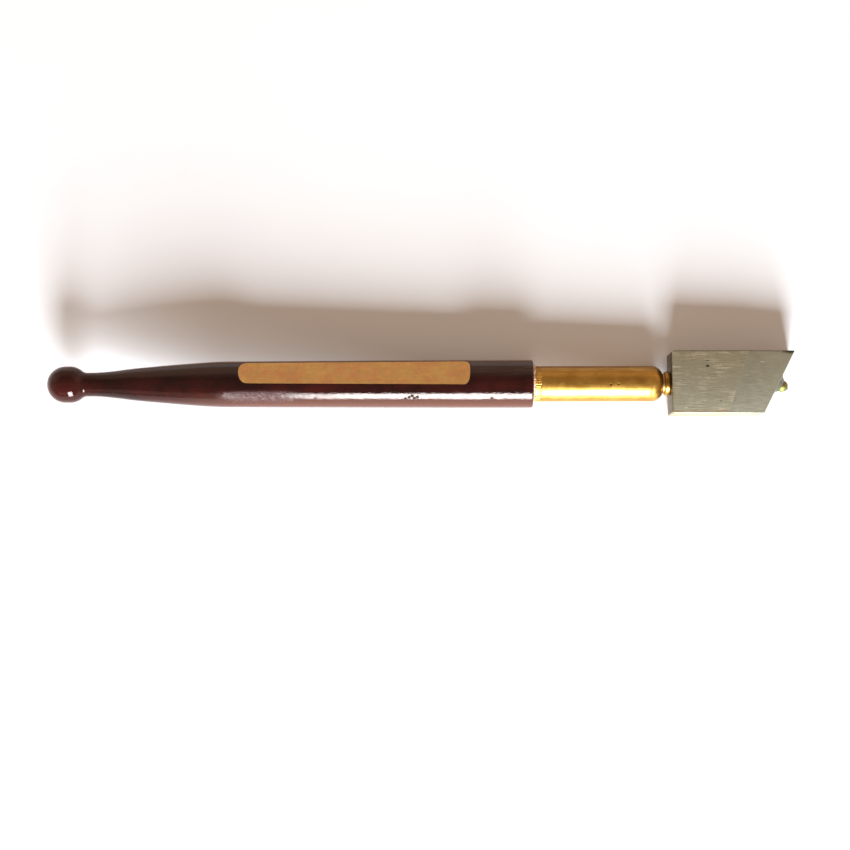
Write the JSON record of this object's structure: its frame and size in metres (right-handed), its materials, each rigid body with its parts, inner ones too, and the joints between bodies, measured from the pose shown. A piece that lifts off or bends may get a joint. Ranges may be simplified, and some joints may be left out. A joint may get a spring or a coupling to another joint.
{
  "type": "glass cutter",
  "caption": "Glazier's diamond: lacquered wooden handle with a bare flat and ball end, brass ferrule, and a steel guide block that swivels on the handle's axis and carries a diamond stud.",
  "frame": {"origin": "on the tool's long axis, halfway between the ball end and the block's far tip", "axes": "+X along the long axis from the ball end towards the diamond, +Z square to the block's large faces, +Y towards the block's long edge"},
  "size_m": [0.1792, 0.015, 0.0116],
  "materials": {
    "lacquered_wood": "dark red-brown gloss lacquer, bare wood on the flat",
    "cement": "hardened tan cement",
    "ferrule_brass": "polished, lightly tarnished",
    "washer_brass": "dull",
    "spindle_brass": "turned, lightly tarnished",
    "block_steel": "ground, with lengthwise lines",
    "pin_steel": "filed flush",
    "spring_steel": "oiled wire",
    "solder": "dull grey solder",
    "diamond": "uncut stone point"
  },
  "bodies": {
    "handle": {"handle": "lacquered_wood", "handle_cement": "cement", "ferrule": "ferrule_brass", "ferrule_plug": "ferrule_brass", "stop_pin": "pin_steel", "nose_washer": "washer_brass", "spring_seat_washer": "washer_brass"},
    "head": {"spindle": "spindle_brass", "swivel_spring": "spring_steel", "spring_washer": "washer_brass", "retaining_nut": "spindle_brass", "head_block": "block_steel", "head_pin": "pin_steel", "diamond_setting": "spindle_brass", "setting_solder": "solder", "diamond": "diamond"}
  },
  "joints": [
    {"name": "head_swivel", "type": "hinge", "parent": "handle", "child": "head", "pos_m": [0.05834, 0, 0], "axis": [1, 0, 0], "range_deg": [-20, 20]}
  ]
}
